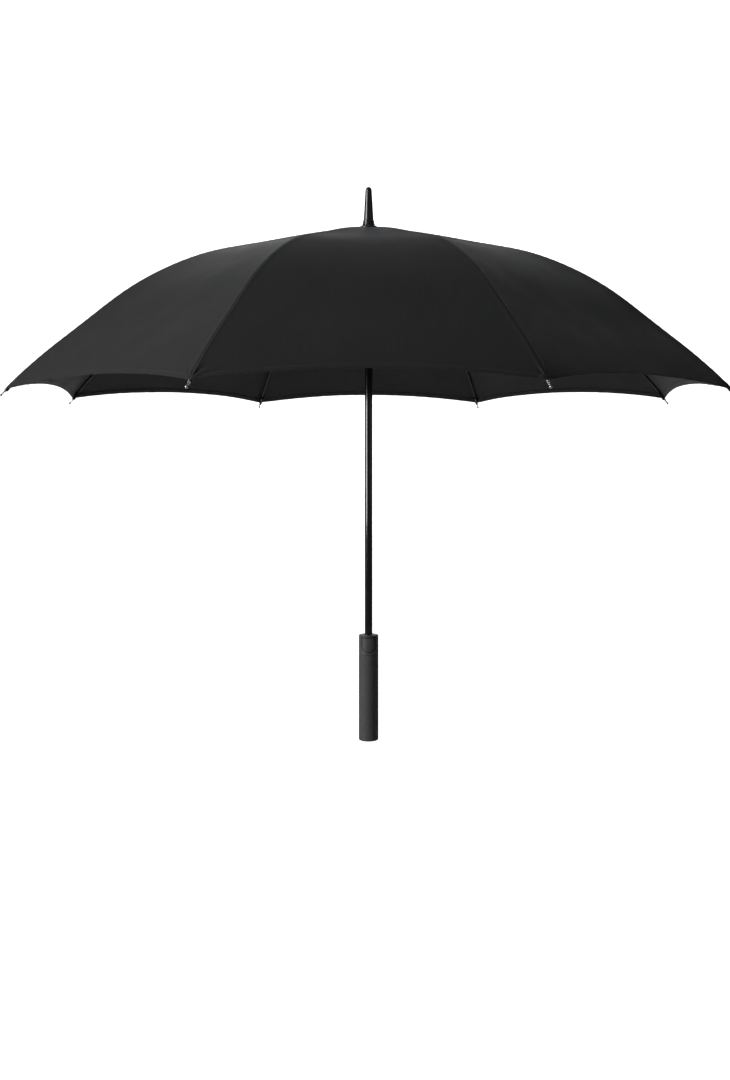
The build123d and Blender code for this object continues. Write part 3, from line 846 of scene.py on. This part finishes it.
station_rows = np.concatenate([rows_top, rows_middle])
for band in cloth_bands:
    band["rows"] = tuple(int(np.abs(station_rows - band[key]).argmin()) for key in ("first", "last"))
cloth_bands[-1]["rows"] = (len(station_rows) - 1, None)
cloth_pieces = []
for gore, (grid, normal) in gores.items():
    halves = [("a", -1, gore, slice(0, half_columns)),
              ("b", 1, gore % rib_count + 1, slice(half_columns - 1, None))]
    for letter, sign, rib, columns in halves:
        for band in cloth_bands:
            start, end = band["rows"]
            rows = slice(start, None if end is None else end + 4)
            block = (rows, columns)
            point = grid["point"][block] if end is None else underlap(grid, normal, rows, columns)
            maps = {"threads": (grid["offset"][block], grid["length"][block]),
                    "seams": (grid["side"][block], grid["length"][block]),
                    "hems": (grid["to_hem"][block], grid["offset"][block])}
            piece = block_mesh(f"cloth_{gore}_{band['name']}_{letter}", point, normal[block], maps)
            settle(piece, band, rib)
            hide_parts(f"canopy_panel_{gore}")
            cloth_pieces.append(piece)
print(len(cloth_pieces), "cloth pieces,", sum(len(p.data.polygons) for p in cloth_pieces), "faces")

# %% [markdown]
# ### Seam allowances
# Under every seam the two raw edges of the gores are pressed to one side and held by the stitching. From below they
# show as a narrow band beside the rib, so each gore gets one, a little under its own surface.

# %% Seam allowances
allowance_columns = slice(1, 9)
allowance_pieces = []
for gore, (grid, normal) in gores.items():
    last_row = grid["point"].shape[0] - grid["extra"] - 2
    for band in cloth_bands:
        start, end = band["rows"]
        block = (slice(max(start, 3), last_row if end is None else end + 1), allowance_columns)
        side, along = grid["side"][block], grid["length"][block]
        depth = 0.00045 + 0.0004 * (side / 0.01) ** 2
        depth = depth + 0.0001 * np.sin(along * 2 * math.pi / 0.021 + gore) * (side / 0.01)
        point = grid["point"][block] - depth[..., None] * normal[block]
        maps = {"threads": (grid["offset"][block], along), "seams": (side, along),
                "hems": (np.full_like(along, 0.05), along)}
        piece = block_mesh(f"seam_band_{gore}_{band['name']}", point, normal[block], maps)
        settle(piece, band, gore)
        allowance_pieces.append(piece)
print(len(allowance_pieces), "seam bands")

# %% [markdown]
# ### Tubes and turned shapes
# Small fittings are either tubes along a line or shapes turned on a lathe. Both are made from rings of points, so one
# helper joins rings into a skin and two others place the rings.

# %% Ring helpers
def skin_rings(name, rings):
    """Mesh through rings of equally many points, closed at both ends."""
    count = len(rings[0])
    vertices = [p for ring in rings for p in ring]
    faces = []
    for k in range(len(rings) - 1):
        for i in range(count):
            j = (i + 1) % count
            faces.append((k * count + i, k * count + j, (k + 1) * count + j, (k + 1) * count + i))
    faces.append(tuple(reversed(range(count))))
    faces.append(tuple((len(rings) - 1) * count + i for i in range(count)))
    return add_mesh(name, vertices, faces)


def line_frame(direction):
    """Two directions square to a direction."""
    direction = Vector(direction).normalized()
    first = direction.cross(Vector((0, 0, 1)))
    if first.length < 1e-4:
        first = direction.cross(Vector((1, 0, 0)))
    first.normalize()
    return first, direction.cross(first)


def turned(name, origin, axis, outline, count=48):
    """A lathe shape: outline is a list of (distance along the axis, radius)."""
    first, second = line_frame(axis)
    axis = Vector(axis).normalized()
    rings = []
    for along, radius in outline:
        centre = Vector(origin) + axis * along
        rings.append([centre + radius * (math.cos(a) * first + math.sin(a) * second)
                      for a in np.linspace(0, 2 * math.pi, count, endpoint=False)])
    return skin_rings(name, rings)


def thread_coil(name, origin, axis, radius, turns, pitch, thread_radius):
    """A few turns of thread round a rod."""
    first, second = line_frame(axis)
    axis = Vector(axis).normalized()
    steps = turns * 20
    path = []
    for k in range(steps + 1):
        a = 2 * math.pi * k / 20
        outward = math.cos(a) * first + math.sin(a) * second
        path.append(Vector(origin) + axis * pitch * (k / 20 - turns / 2) + radius * outward)
    rings = []
    for k, point in enumerate(path):
        ahead = path[min(k + 1, steps)] - path[max(k - 1, 0)]
        u = ahead.cross(axis).normalized()
        v = ahead.normalized().cross(u)
        rings.append([point + thread_radius * (math.cos(b) * u + math.sin(b) * v)
                      for b in np.linspace(0, 2 * math.pi, 8, endpoint=False)])
    return skin_rings(name, rings)


def rib_point(radius, rib):
    """Centre of a rib at a radius, and the direction along it."""
    turn = half_gore + 2 * half_gore * (rib - 1)
    ahead = Vector((math.cos(turn), math.sin(turn), 0))
    rise = float(cloth_height(radius + 0.002) - cloth_height(radius - 0.002)) / 0.004
    along = (ahead + Vector((0, 0, rise))).normalized()
    outward = (Vector((0, 0, 1)) - rise * ahead).normalized()
    cloth = ahead * radius + Vector((0, 0, float(cloth_height(radius))))
    return cloth - outward * cloth_over_rib, along, outward


cloth_over_rib = 0.0039
print("rib centre at 0.2 m", [round(v, 4) for v in rib_point(0.2, 1)[0]])

# %% [markdown]
# ### Thread ties and bracket patches
# The cloth is tied to every rib with a few turns of thread, and a small folded patch of cloth sits between each metal
# bracket and the canopy so that the bracket doesn't rub through. At each corner the cloth ends in a pocket sewn round
# the tip.

# %% Thread ties, patches and corner pockets
thread_finish = hard_finish("tie_thread", (0.03, 0.03, 0.031), (0.08, 0.08, 0.08), 0.6, 5000, 0.00004)


def saddle(name, rib, first_radius, last_radius, inner, outer_angle, thick):
    """Cloth bent over a rod like a saddle, open below, as a closed thin skin."""
    stations = np.linspace(first_radius, last_radius, 12)
    rings = []
    for number, radius in enumerate(stations):
        centre, along, outward = rib_point(float(radius), rib)
        beside = along.cross(outward)
        edge = 1 - 0.12 * math.sin(math.pi * number / 11)
        ring = []
        for a in np.linspace(-outer_angle * edge, outer_angle * edge, 15):
            ring.append(centre + (inner + thick) * (math.cos(a) * outward + math.sin(a) * beside))
        for a in np.linspace(outer_angle * edge, -outer_angle * edge, 15):
            ring.append(centre + inner * (math.cos(a) * outward + math.sin(a) * beside))
        rings.append(ring)
    return skin_rings(name, rings)


def cloth_trim(piece, body):
    piece.data.materials.append(patch_finish)
    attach(piece, body)


def patch_cloth():
    """Cloth without seams of its own, for small trim."""
    material, tree, shader = new_finish("trim_cloth", Roughness=0.55, Specular_IOR_Level=0.22)
    place = node(tree, "ShaderNodeTexCoord")
    weave = node(tree, "ShaderNodeGroup", node_tree=weave_group)
    join(tree, place, "Object", weave, "Place")
    put(weave, Threads_Per_Metre=1100)
    base = blend_colour(tree, blotches(tree, 60.0, 3.0), (0.010, 0.010, 0.0107), (0.017, 0.017, 0.018))
    # Painted shade in the low gaps between the threads of the weave.
    weave_gaps_shaded = blend_colour(tree, ramp(tree, weave.outputs["Height"], 0.0, 0.7, 0.5, 0.0), base, (0.004, 0.004, 0.004))
    tree.links.new(weave_gaps_shaded, shader.inputs["Base Color"])
    bump(tree, shader, weave.outputs["Height"], 0.5, 0.0002)
    return material


patch_finish = patch_cloth()
pin_r = radius_of("stretch_1")
rod_radius = {"rib_inner": 0.002, "rib_mid": 0.002, "rib_outer": 0.0017}
tie_radii = ((0.12, "rib_inner"), (0.215, "rib_inner"), (0.408, "rib_mid"), (0.545, "rib_outer"))
for rib in range(1, rib_count + 1):
    for number, (radius, body) in enumerate(tie_radii):
        centre, along, outward = rib_point(radius, rib)
        rod = rod_radius[body]
        tie = thread_coil(f"tie_{rib}_{number + 1}", centre, along, rod + 0.00035, turns=4, pitch=0.00062,
                          thread_radius=0.0003)
        tie.data.materials.append(thread_finish)
        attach(tie, f"{body}_{rib}")
        knot = turned(f"tie_knot_{rib}_{number + 1}", centre + outward * (rod + 0.0003), outward,
                      [(0, 0.0004), (0.0002, 0.0009), (0.0006, 0.0010), (0.0010, 0.0006), (0.0011, 0.0001)], 12)
        knot.data.materials.append(thread_finish)
        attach(knot, f"{body}_{rib}")
    patch = saddle(f"bracket_patch_{rib}", rib, pin_r - 0.0105, pin_r + 0.0085, 0.0028, math.radians(112), 0.00028)
    cloth_trim(patch, f"rib_inner_{rib}")
    pocket = saddle(f"corner_pocket_{rib}", rib, corner_r - 0.0125, corner_r - 0.0005, 0.00232, math.radians(176),
                    0.0004)
    cloth_trim(pocket, f"rib_outer_{rib}")
print("ties, patches and pockets on", rib_count, "ribs")

# %% [markdown]
# ### Tie strap and snap
# The strap that holds the closed umbrella lies flat on the rear gore beside a rib. It is a tube of cloth pressed flat
# and stitched round its edge, with a rounded end and the cap of a snap fastener.

# %% Place of the strap
strap_points = np.array([v.co for v in nodes["tie_strap"].data.vertices])
strap_radius = np.hypot(strap_points[:, 0], strap_points[:, 1])
strap_gore = 2
strap_middle, strap_across = gore_frame(strap_gore)
strap_forward = strap_points @ strap_middle
strap_side = strap_forward * math.tan(half_gore) + strap_points @ strap_across
strap_station = strap_forward / math.cos(half_gore)
print("strap side", strap_side.min().round(4), strap_side.max().round(4), "station", strap_station.min().round(4),
      strap_station.max().round(4))

# %% [markdown]
# ### Shape of the strap
# Rows run along the strap and columns across it. The top is puffed up, with a groove where the edge is stitched, and
# the underside is flat, just above the gore. A rim of faces joins the two.

# %% Shape of the strap
def on_gore_point(station, side):
    """A point of the flat gore at a station radius and a distance from its lower seam, with its normal."""
    half_width = station * math.sin(half_gore)
    height = float(cloth_height(station))
    rise = float(cloth_height(station + 0.002) - cloth_height(station - 0.002)) / 0.004 / math.cos(half_gore)
    point = Vector(strap_middle) * station * math.cos(half_gore) + Vector(strap_across) * (side - half_width)
    outward = (Vector((0, 0, 1)) - rise * Vector(strap_middle)).normalized()
    return point + Vector((0, 0, height)), outward


def make_strap():
    first, last = float(strap_station.min()), float(strap_station.max())
    low_side, high_side = float(strap_side.min()), float(strap_side.max())
    centre_side, half = (low_side + high_side) / 2, (high_side - low_side) / 2
    rows, columns = 72, 25
    top, under, maps_x, maps_y = [], [], [], []
    for row in range(rows):
        t = row / (rows - 1)
        station = first + (last - first) * t
        from_start, to_end = station - first, last - station
        reach = half
        if to_end < half:
            reach = math.sqrt(max(half ** 2 - (half - to_end) ** 2, (0.12 * half) ** 2))
        for column in range(columns):
            u = -1 + 2 * column / (columns - 1)
            side = centre_side + reach * math.sin(u * math.pi / 2)
            edge = min(reach - abs(side - centre_side), from_start, to_end)
            point, outward = on_gore_point(station, side)
            puff = 0.00135 - 0.0005 * math.exp(-(edge / 0.0011) ** 2)
            puff -= 0.00022 * math.exp(-((edge - 0.0022) / 0.0007) ** 2)
            puff += 0.00012 * math.sin(station * 330 + 2 * u) * min(1, edge / 0.004)
            top.append(point + outward * puff)
            under.append(point + outward * 0.00045)
            maps_x.append(edge)
            maps_y.append(station)
    count = rows * columns
    index = np.arange(count).reshape(rows, columns)
    faces = []
    for row in range(rows - 1):
        for column in range(columns - 1):
            a, b = index[row, column], index[row, column + 1]
            c, d = index[row + 1, column + 1], index[row + 1, column]
            faces.append((a, b, c, d))
            faces.append((d + count, c + count, b + count, a + count))
    rim = list(index[0, :]) + list(index[1:, -1]) + list(index[-1, -2::-1]) + list(index[-2:0:-1, 0])
    for k, here in enumerate(rim):
        ahead = rim[(k + 1) % len(rim)]
        faces.append((here, here + count, ahead + count, ahead))
    piece = add_mesh("strap", top + under, [tuple(int(i) for i in f) for f in faces])
    for name, first_values, second_values in (("threads", maps_x, maps_y), ("seams", maps_x, maps_y),
                                              ("hems", [0.05] * count, maps_y)):
        layer = piece.data.uv_layers.new(name=name)
        for loop in piece.data.loops:
            spot = loop.vertex_index % count
            layer.data[loop.index].uv = (first_values[spot], second_values[spot])
    return piece, 2 * half, last - first


strap, strap_width, strap_length = make_strap()
print("strap", round(strap_width, 4), "by", round(strap_length, 4))

# %% [markdown]
# ### Strap finish and snap
# The strap is cut from canopy cloth. The cap of the snap is turned metal with a raised rim and a low dome. Both hang
# on the outer length of the second rib.

# %% Strap finish and snap
strap.data.materials.append(canopy_finish)
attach(strap, "rib_outer_2")
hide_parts("tie_strap")

snap_low, snap_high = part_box("strap_snap")
snap_place = (snap_low + snap_high) / 2
snap_station = snap_place.dot(Vector(strap_middle)) / math.cos(half_gore)
snap_side = snap_place.dot(Vector(strap_middle)) * math.tan(half_gore) + snap_place.dot(Vector(strap_across))
snap_base, snap_up = on_gore_point(snap_station, snap_side)
snap_outline = [(0.0009, 0.0053), (0.0013, 0.0055), (0.0019, 0.0055), (0.0023, 0.0052), (0.00235, 0.0048),
                (0.0021, 0.0044), (0.0021, 0.0040), (0.0024, 0.0036), (0.0027, 0.0025), (0.0029, 0.0012),
                (0.0029, 0.0002)]
snap = turned("snap_cap", snap_base, snap_up, snap_outline, 40)
snap.data.materials.append(snap_finish)
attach(snap, "rib_outer_2")
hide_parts("strap_snap")
for piece in (strap, snap):
    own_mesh(piece)
print("snap cap", len(snap.data.polygons), "faces")

# %% [markdown]
# ## Button spring
# Three turns of steel wire stand between the collar and the back of the push button. It is the one hard part that
# changes its length, so the CAD coil is replaced by a coil made here. A swept circle is what a wire coil is, so the
# thread maker is used again with thicker wire.

# %% Button spring
wire_radius, spring_turns = 0.00025, 3
spring_low, spring_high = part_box("button_spring")
spring_length = spring_high.y - spring_low.y
spring = thread_coil("button_coil", (spring_low + spring_high) / 2, (0, 1, 0),
                     (spring_high.x - spring_low.x) / 2 - wire_radius, spring_turns,
                     (spring_length - 2 * wire_radius) / spring_turns, wire_radius)
spring.data.materials.append(spring_finish)
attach(spring, "shaft")
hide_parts("button_spring")
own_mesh(spring)
print("button spring", round(spring_length * 1000, 2), "mm long")

# %% [markdown]
# ## Finishes of the ribs
# The ribs are drawn glass-fibre rods, black all through, with a slight gloss and rubbed edges. All three lengths of a
# rib are one rod in life, so they share one finish.

# %% Finishes of the ribs
for k in range(1, rib_count + 1):
    for part in ("rib_inner", "rib_mid", "rib_outer"):
        paint(f"{part}_{k}", rod_finish)
print("painted", 3 * rib_count, "rib lengths")
